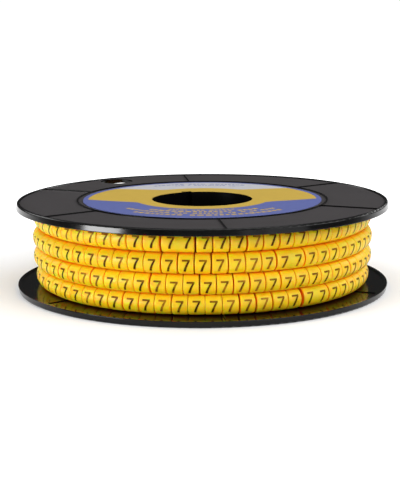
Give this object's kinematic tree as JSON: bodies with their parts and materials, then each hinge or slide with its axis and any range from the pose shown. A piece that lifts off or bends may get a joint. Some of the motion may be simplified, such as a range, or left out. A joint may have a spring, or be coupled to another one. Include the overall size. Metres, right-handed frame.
{
  "type": "reel of cable markers",
  "caption": "Flanged plastic reel with a central bore, wound with a soft strip of cut marker sleeves that slip over wires to number them.",
  "frame": {"origin": "on the reel's axis, at the plane of the lower flange's rim that it stands on", "axes": "+Z along the bore towards the labelled flange; -Y towards the picture's viewer"},
  "size_m": [0.1, 0.1, 0.0238],
  "materials": {
    "reel_plastic": "satin",
    "label_paper": "gloss printed",
    "marker_pvc": "semi-gloss soft vinyl"
  },
  "bodies": {
    "root": {"lower_half": "reel_plastic", "upper_half": "reel_plastic", "face_label": "label_paper", "marker_strip": "marker_pvc"}
  },
  "joints": []
}
